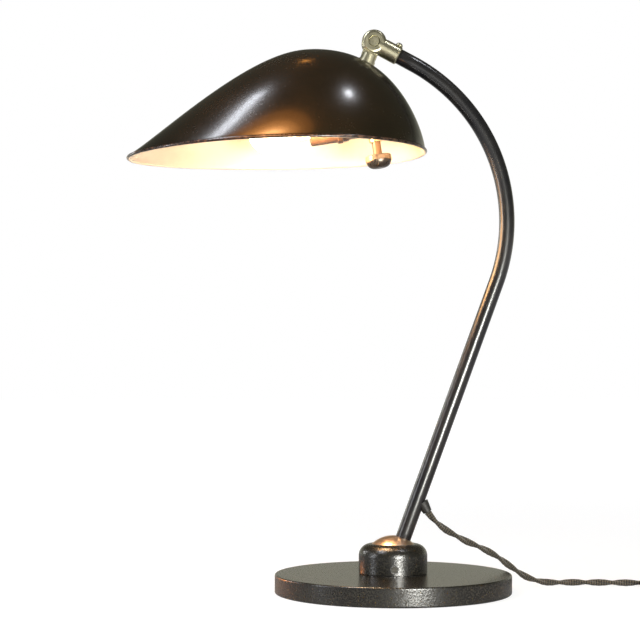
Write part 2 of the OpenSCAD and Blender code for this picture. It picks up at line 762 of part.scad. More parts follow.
module switch_bush() {
    color("#c9c3b4") key_axis() difference() {
        union() {
            translate([0, 0, holder_r - 1 + 0.05]) cylinder(r = bush_r + 1.6, h = 1.6);
            translate([0, 0, holder_r - 5]) cylinder(r = bush_r - 1, h = bush_s - holder_r + 5);
            translate([0, 0, holder_r + 1]) cylinder(r = bush_r, h = bush_s - holder_r - 1);
        }
        cylinder(r = key_d / 2 + pin_gap, h = holder_d);
    }
}

module switch_spindle() {
    color("#8f8371") key_axis() translate([0, 0, 6]) cylinder(d = key_d, h = knob_s - 5);
}

module switch_cam() {
    color("#c8a553") key_axis() translate([0, 0, 2.2]) intersection() {
        cylinder(r = 4.2, h = 3.7);
        cube([10, 5, 10], center = true);
    }
}

// Mushroom knob, flat towards the holder and rounded below
module switch_knob() {
    r = knob_d / 2;
    color("#8f8371") key_axis() translate([0, 0, knob_s]) difference() {
        rotate_extrude() difference() {
            union() {
                square([r - knob_round, knob_h]);
                square([r, knob_h - knob_round]);
                translate([r - knob_round, knob_h - knob_round]) circle(knob_round, $fn = 96);
            }
            translate([-knob_d, -knob_d]) square([knob_d, 3 * knob_d]);
            translate([-knob_d, -knob_d]) square([3 * knob_d, knob_d]);
            translate([r, 0]) rotate(45) square(0.7, center = true);
        }
        translate([0, 0, -over]) cylinder(r = key_d / 2 + 0.02, h = over + 1.02);
    }
}

// Lamp bulb
module bulb_glass() {
    shoulder = sqrt(pow(bulb_r, 2) - pow(neck_r, 2));
    color([1, 0.9, 0.7, 0.4]) at_holder() difference() {
        union() {
            translate([0, 0, bulb_s]) sphere(bulb_r, $fn = 96);
            translate([0, 0, holder_front - 2]) cylinder(r = neck_r, h = bulb_s - shoulder - holder_front + 3);
        }
        translate([0, 0, bulb_s]) sphere(bulb_r - 0.8, $fn = 96);
        translate([0, 0, holder_front - 3]) cylinder(r = neck_r - 0.8, h = bulb_s - shoulder - holder_front + 4.5);
    }
}

module bulb_cap() {
    ribs = 4;
    color("#c9b070") at_holder() difference() {
        rotate_extrude() union() {
            translate([0, 28]) square([thread_r - 0.6, holder_front - 30.1]);
            translate([0, 26]) polygon([[0, 0], [4.8, 0], [thread_r - 2.5, 2.5], [0, 2.5]]);
        }
        for (k = [0 : ribs - 1]) translate([0, 0, 32 + k * 3.6])
            rotate_extrude() translate([thread_r - 0.3, 0]) circle(0.9, $fn = 24);
    }
}

module bulb_mount() {
    color([0.9, 0.95, 1, 0.5]) at_holder() {
        translate([0, 0, holder_front - 2.05]) cylinder(r1 = 8, r2 = 2.4, h = 9);
        translate([0, 0, holder_front + 6]) cylinder(r = 2.4, h = bulb_s - holder_front - 10);
    }
}

module filament() {
    wire_r = 0.35;
    span = 9;
    color("#ffb347") at_holder() {
        for (side = [-1, 1]) translate([0, 0, bulb_s - 3.6]) rotate([side * -46, 0, 0])
            cylinder(r = wire_r, h = 10.2);
        translate([0, -span, bulb_s + 3.4]) along_y() cylinder(r = 2 * wire_r, h = 2 * span);
    }
}

// Cord: a tube with n sides swept along points, the sides' corners pointing up and down
function way(p, i) = let (d = p[min(i + 1, len(p) - 1)] - p[max(i - 1, 0)]) d / norm(d);
function ring_at(p, i, r, n) =
    let (t = way(p, i), side = cross(t, [0, 0, 1]) / norm(cross(t, [0, 0, 1])), up = cross(side, t))
    [for (k = [0 : n - 1]) p[i] + r * (cos(360 * k / n) * up + sin(360 * k / n) * side)];
function wall(count, n) = [for (i = [0 : count - 2], k = [0 : n - 1], half = [0, 1])
    let (a = i * n + k, b = i * n + (k + 1) % n) half == 0 ? [a, a + n, b] : [b, a + n, b + n]];
function lid(n, k0, flip) = [for (k = [1 : n - 2]) flip ? [k0, k0 + k, k0 + k + 1] : [k0, k0 + k + 1, k0 + k]];

module tube_along(p, r, n) {
    polyhedron([for (i = [0 : len(p) - 1]) each ring_at(p, i, r, n)],
        concat(wall(len(p), n), lid(n, 0, true), lid(n, (len(p) - 1) * n, false)), convexity = 8);
}

module cord_stretch() {
    color("#4b4034") tube_along(concat(cord_path, [coil_point(0) + [-0.05, 0, 0]]), cord_r, 8);
}

// Coil: in along the table, up a layer in half a turn, and out again on top, turning clockwise
bottom_end = layer_turns;
top_start = layer_turns + climb_turn;
function coil_radius(t) =
    t < bottom_end ? coil_in + coil_pitch * (layer_turns - t)
    : t < top_start ? coil_in - coil_pitch / 8 * sin(180 * (t - bottom_end) / climb_turn)
    : coil_in + coil_pitch * (t - top_start);
function coil_height(t) = cord_r + coil_pitch * (
    t < bottom_end ? 0 : t > top_start ? 1 : (1 - cos(180 * (t - bottom_end) / climb_turn)) / 2);
function coil_point(t) = [coil_at[0] + coil_radius(t) * sin(360 * t),
    coil_at[1] + coil_radius(t) * cos(360 * t), coil_height(t)];
coil_points = concat([for (i = [0 : coil_rings]) coil_point(coil_turns * i / coil_rings)],
    [coil_point(coil_turns) + [0, -cord_d, 0]]);

module cord_coil() {
    color("#4b4034") tube_along(coil_points, cord_r, 6);
}

// Least distance between places on the coil that lie half a turn or more apart along it
function coil_least() = min([for (i = [0 : 2 : coil_rings], j = [i + loop_rings / 2 : coil_rings])
    norm(coil_points[i] - coil_points[j])]) - cord_d;
echo(least_gap_of_coil = coil_least());

// Length of the flex from the outlet to the plug
function length_of(p) = len(p) < 2 ? 0 : norm(p[1] - p[0]) + length_of([for (i = [1 : len(p) - 1]) p[i]]);
echo(cord_length = length_of(concat(cord_path, coil_points)));

// Plug, lying on the table beside the coil, with its pins towards -Y
plug_end = coil_points[len(coil_points) - 1];
module at_plug() translate([plug_end[0], plug_end[1] - 0.05, plug_t / 2]) rotate([90, 0, 0]) children();

module plug_body() {
    taper = 22;
    drop = plug_end[2] - plug_t / 2;
    color("#1b1a1a") {
        at_plug() translate([0, drop, 0]) cylinder(r1 = cord_r, r2 = 4.6, h = taper + 4);
        at_plug() translate([0, plug_t / 2, taper]) rotate([90, 0, 0]) linear_extrude(plug_t)
            polygon([[-6, 0], [6, 0], [8, 6], [plug_w / 2, 17], [plug_w / 2, plug_len],
                [-plug_w / 2, plug_len], [-plug_w / 2, 17], [-8, 6]]);
    }
}

module plug_pins() {
    color("#c9c3b4") at_plug() for (side = [-1, 1])
        translate([side * plug_pin_gap / 2, 0, 22 + plug_len + 0.02]) {
            cylinder(r = plug_pin_r, h = plug_pin_len - plug_pin_r);
            translate([0, 0, plug_pin_len - plug_pin_r]) sphere(plug_pin_r);
        }
}

base_plate();
felt_pad();
hub_housing();
swivel_plate();
plate_screws();
swivel_stud();
cone_washer();
flat_washer();
swivel_nut();
tilt_pin();
pin_springs();
pin_spacers();
arm_dome();
arm_tube();
cord_bush();
arm_flex();
knuckle_fork();
knuckle_screw();
knuckle_nut();
knuckle_washers();
sleeve_screw();
shade_tongue();
seat_wedge();
shade_shell();
inner_wedge();
holder_strip();
nipple_nut();
holder_nipple();
holder_nut();
holder_cap();
holder_skirt();
skirt_ring();
thread_shell();
contact_block();
centre_contact();
holder_leads();
switch_bush();
switch_spindle();
switch_cam();
switch_knob();
bulb_glass();
bulb_cap();
bulb_mount();
filament();
cord_stretch();
cord_coil();
plug_body();
plug_pins();
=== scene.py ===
# Desk lamp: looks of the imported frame, its camera, lights and surroundings
# Lengths are in metres unless a comment says otherwise, powers in watts
import math

import bpy
from mathutils import Matrix, Vector


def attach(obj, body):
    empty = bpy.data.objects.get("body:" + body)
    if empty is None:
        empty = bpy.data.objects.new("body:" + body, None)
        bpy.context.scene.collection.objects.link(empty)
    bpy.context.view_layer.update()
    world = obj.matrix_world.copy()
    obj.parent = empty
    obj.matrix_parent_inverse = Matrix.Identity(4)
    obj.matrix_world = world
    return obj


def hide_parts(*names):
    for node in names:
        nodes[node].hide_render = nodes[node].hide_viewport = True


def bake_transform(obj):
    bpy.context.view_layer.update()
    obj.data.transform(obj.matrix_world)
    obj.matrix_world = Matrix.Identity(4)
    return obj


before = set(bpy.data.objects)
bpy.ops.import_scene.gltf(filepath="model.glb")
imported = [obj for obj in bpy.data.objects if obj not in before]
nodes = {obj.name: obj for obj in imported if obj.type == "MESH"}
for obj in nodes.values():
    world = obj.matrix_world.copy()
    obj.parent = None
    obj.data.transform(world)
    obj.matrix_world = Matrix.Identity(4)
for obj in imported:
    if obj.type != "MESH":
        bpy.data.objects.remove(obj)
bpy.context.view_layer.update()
scene = bpy.context.scene
scene.view_settings.view_transform = "Standard"


# Camera: level and along +Y, its shift takes the place of a tilt
CAMERA_PLACE = (-0.0617, -1.33, 0.170)
CAMERA_LENS, CAMERA_SENSOR, CAMERA_SHIFT = 88.5, 36, 0.112

camera_data = bpy.data.cameras.new("camera")
camera_data.sensor_width = CAMERA_SENSOR
camera_data.lens = CAMERA_LENS
camera_data.shift_y = CAMERA_SHIFT
camera = bpy.data.objects.new("camera", camera_data)
camera.location = CAMERA_PLACE
camera.rotation_euler = (math.radians(90), 0, 0)
scene.collection.objects.link(camera)
scene.camera = camera


def new_mesh(name, points, faces, materials, indices=None, uvs=None):
    """A smooth mesh object, with a material index and UVs for each face where they are given."""
    data = bpy.data.meshes.new(name)
    data.from_pydata(points, [], faces)
    for material in materials:
        data.materials.append(material)
    for i, face in enumerate(data.polygons):
        face.use_smooth = True
        face.material_index = indices[i] if indices else 0
    if uvs:
        layer = data.uv_layers.new(name="UVMap")
        for i, face in enumerate(data.polygons):
            for k, loop in enumerate(face.loop_indices):
                layer.data[loop].uv = uvs[i][k]
    data.update()
    piece = bpy.data.objects.new(name, data)
    scene.collection.objects.link(piece)
    return piece


# Material helpers
# Sockets of a Mix node set to colours
MIX_FACTOR, MIX_A, MIX_B, MIX_RESULT = 0, 6, 7, 2


def add_node(tree, kind, inputs=None, **settings):
    """A new node of the tree; each input is a socket to link from or a plain value."""
    made = tree.nodes.new(kind)
    for key, value in settings.items():
        setattr(made, key, value)
    for key, value in (inputs or {}).items():
        if hasattr(value, "links"):
            tree.links.new(value, made.inputs[key])
        else:
            made.inputs[key].default_value = value
    return made


class Look:
    """A material with one Principled shader, and short ways to add nodes to it."""

    def __init__(self, name, **values):
        self.material = bpy.data.materials.new(name)
        self.material.use_nodes = True
        self.tree = self.material.node_tree
        self.shader = self.tree.nodes["Principled BSDF"]
        for key, value in values.items():
            self.shader.inputs[key.replace("_", " ")].default_value = value
        self.where = self.node("ShaderNodeTexCoord").outputs["Object"]

    def node(self, kind, inputs=None, **settings):
        return add_node(self.tree, kind, inputs, **settings)

    def noise(self, scale, detail=3.0, rough=0.55, at=None):
        return self.node("ShaderNodeTexNoise", {"Vector": at or self.where, "Scale": scale,
                                                "Detail": detail, "Roughness": rough}).outputs["Fac"]

    def span(self, value, low, high, to_low=0.0, to_high=1.0):
        """The value moved from one range to another, and held inside it."""
        return self.node("ShaderNodeMapRange", {"Value": value, "From Min": low, "From Max": high,
                                                "To Min": to_low, "To Max": to_high}).outputs["Result"]

    def calc(self, a, b, op="ADD"):
        return self.node("ShaderNodeMath", {0: a, 1: b}, operation=op).outputs[0]

    def mix(self, factor, a, b):
        return self.node("ShaderNodeMix", {MIX_FACTOR: factor, MIX_A: (*a, 1), MIX_B: (*b, 1)},
                         data_type="RGBA").outputs[MIX_RESULT]

    def colour(self, value, a, b):
        """Base colour that goes from a to b with the value."""
        self.tree.links.new(self.mix(value, a, b), self.shader.inputs["Base Color"])
        return self

    def rough(self, value, to_low, to_high, low=0.3, high=0.7):
        """Roughness that goes from to_low to to_high while the value goes from low to high."""
        spread = self.span(value, low, high, to_low, to_high)
        self.tree.links.new(spread, self.shader.inputs["Roughness"])
        return self

    def bump(self, value, height, strength):
        made = self.node("ShaderNodeBump", {"Height": value, "Distance": height, "Strength": strength})
        self.tree.links.new(made.outputs["Normal"], self.shader.inputs["Normal"])
        return self


def crackle_paint(name, cell, smooth, rough):
    """Black paint with a fine hammered skin: smooth paler grains in a rough dark ground."""
    look = Look(name, Specular_IOR_Level=0.85)
    lumps = look.node("ShaderNodeTexVoronoi", {"Vector": look.where, "Scale": cell, "Randomness": 1.0},
                      feature="SMOOTH_F1").outputs["Distance"]
    fine = look.noise(cell * 1.4, 2, 0.6)
    grains = look.span(fine, 0.5, 0.64)
    look.colour(grains, (0.0025, 0.0022, 0.0018), (0.03, 0.027, 0.02))
    look.rough(grains, rough, smooth, low=0, high=1)
    look.bump(look.calc(look.calc(lumps, 0.5, "MULTIPLY"), fine), 0.00035, 0.35)
    return look


def plated(name, base, tint, rough, wear=0.0):
    """Plated or turned metal: a cloudy tint and small marks, with the least and most roughness."""
    look = Look(name, Metallic=1.0)
    long_marks = look.node("ShaderNodeMapping", {"Vector": look.where, "Scale": (1, 1, 0.12)})
    cloud = look.noise(90, 4, 0.6)
    marks = look.noise(650, 2, 0.5, long_marks.outputs["Vector"])
    look.colour(look.span(cloud, 0.35 - wear, 0.75), base, tint)
    look.rough(look.calc(cloud, marks, "MULTIPLY"), *rough, low=0.12, high=0.42)
    return look


# Finishes
base_paint = crackle_paint("base_black", cell=560, smooth=0.14, rough=0.3)
hub_paint = crackle_paint("hub_black", cell=640, smooth=0.16, rough=0.3)
# The dome's nickel is tinted warm copper all over: a painted reflection of the bulb-lit shade above it
dome_nickel_painted_warm = plated("dome_nickel_painted_warm", (0.95, 0.74, 0.58), (0.85, 0.58, 0.4), (0.27, 0.4))
aged_nickel = plated("aged_nickel", (0.66, 0.62, 0.44), (0.42, 0.39, 0.27), (0.3, 0.46), wear=0.08)
# The switch knob's nickel in a much darker copy: painted shade on the knob
knob_nickel_painted_shade = plated("knob_nickel_painted_shade", (0.2, 0.16, 0.125), (0.12, 0.09, 0.068), (0.24, 0.4), wear=0.05)
dark_steel = plated("dark_steel", (0.045, 0.043, 0.038), (0.025, 0.023, 0.02), (0.3, 0.45))
steel = plated("steel", (0.6, 0.59, 0.57), (0.45, 0.44, 0.43), (0.28, 0.5))
brass = plated("brass", (0.72, 0.55, 0.27), (0.5, 0.36, 0.16), (0.22, 0.42))
bulb_metal = plated("bulb_metal", (0.8, 0.8, 0.81), (0.62, 0.62, 0.64), (0.25, 0.45))

bakelite = Look("bakelite", Coat_Weight=0.3, Coat_Roughness=0.1)
mottle = bakelite.noise(140, 5, 0.65)
bakelite.colour(bakelite.span(mottle, 0.4, 0.68), (0.075, 0.034, 0.016), (0.13, 0.06, 0.028))
bakelite.rough(bakelite.noise(60), 0.2, 0.34).bump(bakelite.noise(420, 2), 0.00005, 0.5)

brown_brass = Look("brown_brass", Metallic=0.35)
tarnish = brown_brass.noise(420, 3)
brown_brass.colour(tarnish, (0.1, 0.05, 0.022), (0.17, 0.09, 0.04))
brown_brass.rough(tarnish, 0.38, 0.55).bump(tarnish, 0.00003, 0.3)

tube_paint = Look("tube_black", Coat_Weight=0.6, Coat_Roughness=0.2)
tube_dust = tube_paint.noise(45, 4, 0.6)
tube_paint.colour(tube_paint.span(tube_dust, 0.4, 0.75), (0.006, 0.006, 0.008), (0.016, 0.014, 0.013))
tube_paint.rough(tube_dust, 0.27, 0.36, high=0.75)

felt = Look("felt", Roughness=0.95, Sheen_Weight=0.4)
fibre = felt.noise(1400, 4, 0.7)
felt.colour(fibre, (0.012, 0.028, 0.018), (0.05, 0.09, 0.06)).bump(fibre, 0.0003, 0.8)

rubber = Look("bush_rubber")
grain = rubber.noise(900, 3)
rubber.colour(grain, (0.01, 0.01, 0.009), (0.03, 0.028, 0.026))
rubber.rough(grain, 0.42, 0.62).bump(grain, 0.0001, 0.5)

# Vitreous enamel outside the shade: near black with a warm brown cast and a light orange peel
enamel = Look("shade_enamel", Coat_Weight=0.25, Coat_Roughness=0.12)
patches = enamel.noise(14, 4, 0.6)
specks = enamel.noise(520, 2, 0.5)
enamel.colour(enamel.span(patches, 0.35, 0.7), (0.0058, 0.005, 0.0026), (0.0105, 0.0078, 0.0032))
enamel.rough(enamel.calc(patches, specks, "MULTIPLY"), 0.19, 0.28, low=0.12, high=0.42)
enamel.bump(enamel.calc(enamel.noise(90, 2), enamel.calc(specks, 0.1, "MULTIPLY")), 0.00004, 0.25)

cream = Look("shade_cream", Coat_Weight=0.2, Coat_Roughness=0.15)
stain = cream.noise(22, 4, 0.6)
cream.colour(cream.span(stain, 0.4, 0.75), (0.84, 0.69, 0.53), (0.75, 0.57, 0.41))
cream.rough(stain, 0.3, 0.45).bump(cream.noise(160, 2), 0.00008, 0.4)

# The bead's worn edge: dark enamel with chips of bare brown metal
rim_metal = Look("rim_edge", Coat_Weight=0.4, Coat_Roughness=0.08)
chips = rim_metal.noise(230, 4, 0.7)
rim_metal.colour(rim_metal.span(chips, 0.52, 0.66), (0.016, 0.009, 0.006), (0.13, 0.075, 0.045))
rim_metal.rough(chips, 0.2, 0.4).bump(chips, 0.00006, 0.5)

ceramic = Look("ceramic", Coat_Weight=0.3)
clay = ceramic.noise(200, 4)
ceramic.colour(clay, (0.74, 0.71, 0.64), (0.84, 0.82, 0.77))
ceramic.rough(clay, 0.25, 0.45).bump(clay, 0.0001, 0.3)

lead_skin = Look("lead", Roughness=0.7)
lead_weave = lead_skin.noise(900, 3)
lead_skin.colour(lead_weave, (0.2, 0.15, 0.1), (0.42, 0.34, 0.25)).bump(lead_weave, 0.0001, 0.6)

opal = Look("bulb_white", Roughness=0.25, Emission_Strength=10.0, Coat_Weight=0.3)
opal.shader.inputs["Base Color"].default_value = (0.95, 0.9, 0.8, 1)
warmth = opal.mix(opal.noise(60, 2), (1.0, 0.7, 0.42), (1.0, 0.76, 0.5))
opal.tree.links.new(warmth, opal.shader.inputs["Emission Color"])

clear = Look("clear_glass", Roughness=0.04, IOR=1.5, Transmission_Weight=0.9)
clear.colour(clear.noise(80), (0.93, 0.96, 0.97), (0.98, 1.0, 1.0))

# Braid of the flex: two sets of strands that cross, light threads in a dark olive-brown cover
# Waves of the braid once round a core, and for each metre along it
BRAID_ROUND, BRAID_ALONG, FULL_TURN = 4.0, 230.0, 6.2832

flex = Look("flex", Roughness=0.75, Sheen_Weight=0.25)
uv_map = flex.node("ShaderNodeUVMap", uv_map="UVMap").outputs["UV"]
uv = flex.node("ShaderNodeSeparateXYZ", {"Vector": uv_map})
turns_round = flex.calc(uv.outputs["X"], BRAID_ROUND, "MULTIPLY")
turns_along = flex.calc(uv.outputs["Y"], BRAID_ALONG, "MULTIPLY")
waves = [flex.calc(flex.calc(flex.calc(turns_round, turns_along, op), FULL_TURN, "MULTIPLY"), 0.0, "SINE")
         for op in ("ADD", "SUBTRACT")]
weave = flex.calc(*waves, "MULTIPLY")
threads = flex.span(flex.calc(weave, flex.noise(700, 3)), 0.55, 1.15)
flex.colour(threads, (0.005, 0.0045, 0.003), (0.15, 0.12, 0.08))
flex.bump(flex.span(weave, -1, 1), 0.0003, 0.8)


# Cord: the free stretch's points (in mm) and the coil's sizes are those of the solid
CORD_D = 0.006
CORD_PATH_MM = [
    (29.4, 0, 68.2), (34, 1, 62.4), (40, 2, 56.8), (47, 4, 51.6), (55, 7, 47), (63, 10, 42.6),
    (72, 14, 38.4), (82, 19, 33.4), (92, 24, 27.2), (101, 30, 20.4), (110, 35, 13.8), (119, 39, 8.4),
    (129, 43, 4.8), (140, 46, 3.2), (152, 48, 3), (164, 48.5, 3), (176, 48, 3), (188, 47, 3),
    (200, 46, 3), (212, 45.2, 3), (224, 45, 3), (236, 45, 3), (249, 45, 3)]
TURNS, PITCH, MID_R, CLIMB = 7.25, 0.0066, 0.035, 0.5
LAYER = (TURNS - CLIMB) / 2
INNER = MID_R - PITCH * LAYER / 2
COIL_X, COIL_Y = 0.261, 0.045 - INNER - PITCH * LAYER
COIL_MARKS = 174
STRETCH_STEPS, COIL_STEPS = 8, 5
# The two cores: their centres' distance from the cord's line, their radius, and the length of one twist
CORE_OFFSET, CORE_R, LAY, CORE_SIDES = 0.00122, 0.00177, 0.046, 8


def coil_point(t):
    """Place on the coil's centre line after t turns: a layer inwards, a climb, a layer outwards."""
    if t < LAYER:
        r, z = INNER + PITCH * (LAYER - t), 0.0
    elif t < LAYER + CLIMB:
        part = (t - LAYER) / CLIMB
        r, z = INNER - PITCH / 8 * math.sin(math.pi * part), (1 - math.cos(math.pi * part)) / 2
    else:
        r, z = INNER + PITCH * (t - LAYER - CLIMB), 1.0
    return Vector((COIL_X + r * math.sin(2 * math.pi * t), COIL_Y + r * math.cos(2 * math.pi * t),
                   CORD_D / 2 + PITCH * z))


def through(points, steps):
    """A smooth curve through the points, with so many steps from each to the next."""
    made = []
    for i in range(len(points) - 1):
        a, b, c, d = (points[max(0, min(len(points) - 1, k))] for k in (i - 1, i, i + 1, i + 2))
        for k in range(steps):
            t = k / steps
            made.append(0.5 * ((2 * b) + (c - a) * t + (2 * a - 5 * b + 4 * c - d) * t * t
                               + (3 * b - a - 3 * c + d) * t ** 3))
    return made + [points[-1]]


def strands(route):
    """Two twisted cores along the route: points, faces, UVs and the route's length."""
    last = len(route) - 1
    ways = [(route[min(i + 1, last)] - route[max(i - 1, 0)]).normalized() for i in range(last + 1)]
    across = [ways[0].cross(Vector((0, 1, 0))).normalized()]
    run = [0.0]
    for i in range(1, last + 1):
        kept = ways[i - 1].rotation_difference(ways[i]) @ across[-1]
        across.append((kept - ways[i] * kept.dot(ways[i])).normalized())
        run.append(run[-1] + (route[i] - route[i - 1]).length)
    points, faces, uvs = [], [], []
    for core in (0, 1):
        first = len(points)
        for i, centre in enumerate(route):
            other = ways[i].cross(across[i])
            turn = 2 * math.pi * run[i] / LAY + core * math.pi
            out = math.cos(turn) * across[i] + math.sin(turn) * other
            side = math.cos(turn + math.pi / 2) * across[i] + math.sin(turn + math.pi / 2) * other
            for k in range(CORE_SIDES):
                a = 2 * math.pi * k / CORE_SIDES
                points.append(centre + out * (CORE_OFFSET + CORE_R * math.cos(a))
                              + side * CORE_R * math.sin(a))
        for i in range(last):
            for k in range(CORE_SIDES):
                p, q = (first + i * CORE_SIDES + n for n in (k, (k + 1) % CORE_SIDES))
                faces.append((p, q, q + CORE_SIDES, p + CORE_SIDES))
                u0, u1 = k / CORE_SIDES, (k + 1) / CORE_SIDES
                uvs.append(((u0, run[i]), (u1, run[i]), (u1, run[i + 1]), (u0, run[i + 1])))
        far_ring = first + last * CORE_SIDES
        faces.append(tuple(first + k for k in reversed(range(CORE_SIDES))))
        faces.append(tuple(far_ring + k for k in range(CORE_SIDES)))
        uvs += [((0.5, 0.0),) * CORE_SIDES, ((0.5, run[-1]),) * CORE_SIDES]
    return points, faces, uvs, run[-1]


stretch = [Vector(p) / 1000 for p in CORD_PATH_MM]
coil_marks = [coil_point(TURNS * i / COIL_MARKS) for i in range(COIL_MARKS + 1)]
coil_marks.append(coil_marks[-1] + Vector((0, -CORD_D, 0)))
cord_route = through(stretch + coil_marks[:1], STRETCH_STEPS)[:-1] + through(coil_marks, COIL_STEPS)
cord_points, cord_faces, cord_uvs, cord_length = strands(cord_route)
cord = new_mesh("flex_cord", cord_points, cord_faces, [flex.material], uvs=cord_uvs)
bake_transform(cord)
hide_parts("cord_stretch", "cord_coil")


# Arm tube: the solid's own line and wall, in smooth faces
KNUCKLE_X, KNUCKLE_Z = -0.0160995, 0.464756
LEAN, BEND_ANGLE, BEND_R = math.radians(20), math.radians(81.7), 0.1514
STRAIGHT, TOP_LEN = 0.2548, 0.0372
# How far the tube's ends stay back from the pin and from the knuckle's middle
TUBE_SEAT, TUBE_STOP = 0.01, 0.01205
TUBE_R, TUBE_WALL = 0.0065, 0.0012
TUBE_SIDES, STRAIGHT_STEPS, BEND_STEPS = 96, 12, 90


def heading(a):
    """Way that leans by angle a from upright."""
    return Vector((math.sin(a), 0, math.cos(a)))


def square_to(a):
    """Way square to the heading, in the arm's plane."""
    return Vector((math.cos(a), 0, -math.sin(a)))


def tube_mesh():
    """Points and faces of the bent tube, closed at each end by a flat ring."""
    top = LEAN - BEND_ANGLE
    bend_to = Vector((KNUCKLE_X, 0, KNUCKLE_Z)) - TOP_LEN * heading(top)
    middle = bend_to - BEND_R * square_to(top)
    bend_from = middle + BEND_R * square_to(LEAN)
    stations = [(bend_from - (STRAIGHT - TUBE_SEAT) * (1 - k / STRAIGHT_STEPS) * heading(LEAN), LEAN)
                for k in range(STRAIGHT_STEPS)]
    for k in range(BEND_STEPS + 1):
        a = LEAN - BEND_ANGLE * k / BEND_STEPS
        stations.append((middle + BEND_R * square_to(a), a))
    stations.append((bend_to + (TOP_LEN - TUBE_STOP) * heading(top), top))
    points = []
    for r, line in ((TUBE_R, stations), (TUBE_R - TUBE_WALL, stations[::-1])):
        for centre, a in line:
            for k in range(TUBE_SIDES):
                turn = 2 * math.pi * k / TUBE_SIDES
                points.append(centre + r * (math.cos(turn) * square_to(a)
                                            + math.sin(turn) * Vector((0, 1, 0))))
    faces = []
    rings = 2 * len(stations)
    for j in range(rings):
        for k in range(TUBE_SIDES):
            p, q = j * TUBE_SIDES, (j + 1) % rings * TUBE_SIDES
            faces.append((p + k, p + (k + 1) % TUBE_SIDES, q + (k + 1) % TUBE_SIDES, q + k))
    return points, faces


tube_points, tube_faces = tube_mesh()
tube = new_mesh("arm_tube_skin", tube_points, tube_faces, [tube_paint.material])
tube_rings = len(tube_faces) // TUBE_SIDES
for face in tube.data.polygons:
    if face.index // TUBE_SIDES in (tube_rings // 2 - 1, tube_rings - 1):
        face.use_smooth = False
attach(tube, "arm")
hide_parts("arm_tube")


# Shade: the solid's own surface, more finely divided, with its bead rolled round
STEM, STEM_TILT = 0.0183, math.radians(21)
RIM_A, RIM_B, RIM_EGG, RIM_SLOPE, RIM_BOW = 0.1251, 0.0886, 0.115, 0.023, 0.0019
DOME_H, SHEET, BEAD = 0.0872, 0.0011, 0.0014
SHADE_X, APEX_X = KNUCKLE_X - 0.08205, KNUCKLE_X - 0.0548
# Exponents of the dome's profile at its front, and what is added to them towards the stem's side
FULL_RUN, FULL_RUN_BACK = 1.55, 1.045
FULL_EDGE, FULL_EDGE_BACK = 1.134, -0.421
SHADE_ROUNDS, SHADE_LEVELS = 240, 44
# The bead's section starts inside at this angle; its first steps are cream as the inside is
BEAD_FROM, BEAD_TURN, BEAD_STEPS, BEAD_CREAM = 215, 195, 14, 6
OUTSIDE, INSIDE, ON_BEAD = 0, 1, 2


def rise(a, s):
    """Height of the dome, as a share, at share s of the way from its top to the rim at angle a."""
    back = (1 + math.cos(a)) / 2
    edge = FULL_EDGE + FULL_EDGE_BACK * (1 - (1 - back) ** 3)
    return max(0.0, 1 - s ** (FULL_RUN + FULL_RUN_BACK * back)) ** edge


CREST_RUN = SHADE_X + RIM_A - APEX_X
SEAT_X = KNUCKLE_X - STEM * math.sin(STEM_TILT)
SEAT_Z = KNUCKLE_Z - STEM * math.cos(STEM_TILT)
APEX_Z = SEAT_Z + (DOME_H - RIM_SLOPE * CREST_RUN) * (1 - rise(0, (SEAT_X - APEX_X) / CREST_RUN))


def rim_point(a):
    """Place on the rim at angle a, and the way out from the dome's top there."""
    x, y = SHADE_X + RIM_A * math.cos(a), RIM_B * math.sin(a) * (1 + RIM_EGG * math.cos(a))
    z = APEX_Z - DOME_H + RIM_SLOPE * (x - APEX_X) + RIM_BOW * math.sin(a) ** 2
    return Vector((x, y, z)), Vector((x - APEX_X, y, 0)).normalized()


def face_point(a, s, inset, low):
    """Place on the outer face, or on the inner one with an inset, at share s of the way to the rim."""
    rim, out = rim_point(a)
    edge = rim - inset * out
    foot = rim.z + low
    return Vector((APEX_X + s * (edge.x - APEX_X), s * edge.y,
                   foot + (APEX_Z - inset - foot) * rise(a, s)))


def shade_mesh():
    """Points, faces and material index of each face: inner face, bead and outer face in one skin."""
    shares = [math.sin(math.pi / 2 * j / SHADE_LEVELS) for j in range(1, SHADE_LEVELS + 1)]
    points, faces, kinds = [], [], []
    for i in range(SHADE_ROUNDS):
        a = 2 * math.pi * i / SHADE_ROUNDS
        rim, out = rim_point(a)
        points += [face_point(a, s, SHEET, 0) for s in shares]
        for k in range(BEAD_STEPS + 1):
            turn = math.radians(BEAD_FROM + BEAD_TURN * k / BEAD_STEPS)
            points.append(rim + out * (BEAD - SHEET + BEAD * math.cos(turn))
                          + Vector((0, 0, BEAD * math.sin(turn))))
        points += [face_point(a, s, 0, BEAD) for s in reversed(shares)]
    n = 2 * SHADE_LEVELS + BEAD_STEPS + 1
    for i in range(SHADE_ROUNDS):
        p, q = i * n, (i + 1) % SHADE_ROUNDS * n
        for j in range(n - 1):
            faces.append((p + j, p + j + 1, q + j + 1, q + j))
            kinds.append(INSIDE if j < SHADE_LEVELS + BEAD_CREAM
                         else ON_BEAD if j < SHADE_LEVELS + BEAD_STEPS else OUTSIDE)
    for kind, j, z in ((INSIDE, 0, APEX_Z - SHEET), (OUTSIDE, n - 1, APEX_Z)):
        points.append(Vector((APEX_X, 0, z)))
        for i in range(SHADE_ROUNDS):
            p, q = i * n + j, (i + 1) % SHADE_ROUNDS * n + j
            faces.append((len(points) - 1, p, q) if kind == INSIDE else (len(points) - 1, q, p))
            kinds.append(kind)
    return points, faces, kinds


shade_points, shade_faces, shade_kinds = shade_mesh()
shade = new_mesh("shade_skin", shade_points, shade_faces,
                 [enamel.material, cream.material, rim_metal.material], shade_kinds)
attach(shade, "shade")
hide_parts("shade_shell")


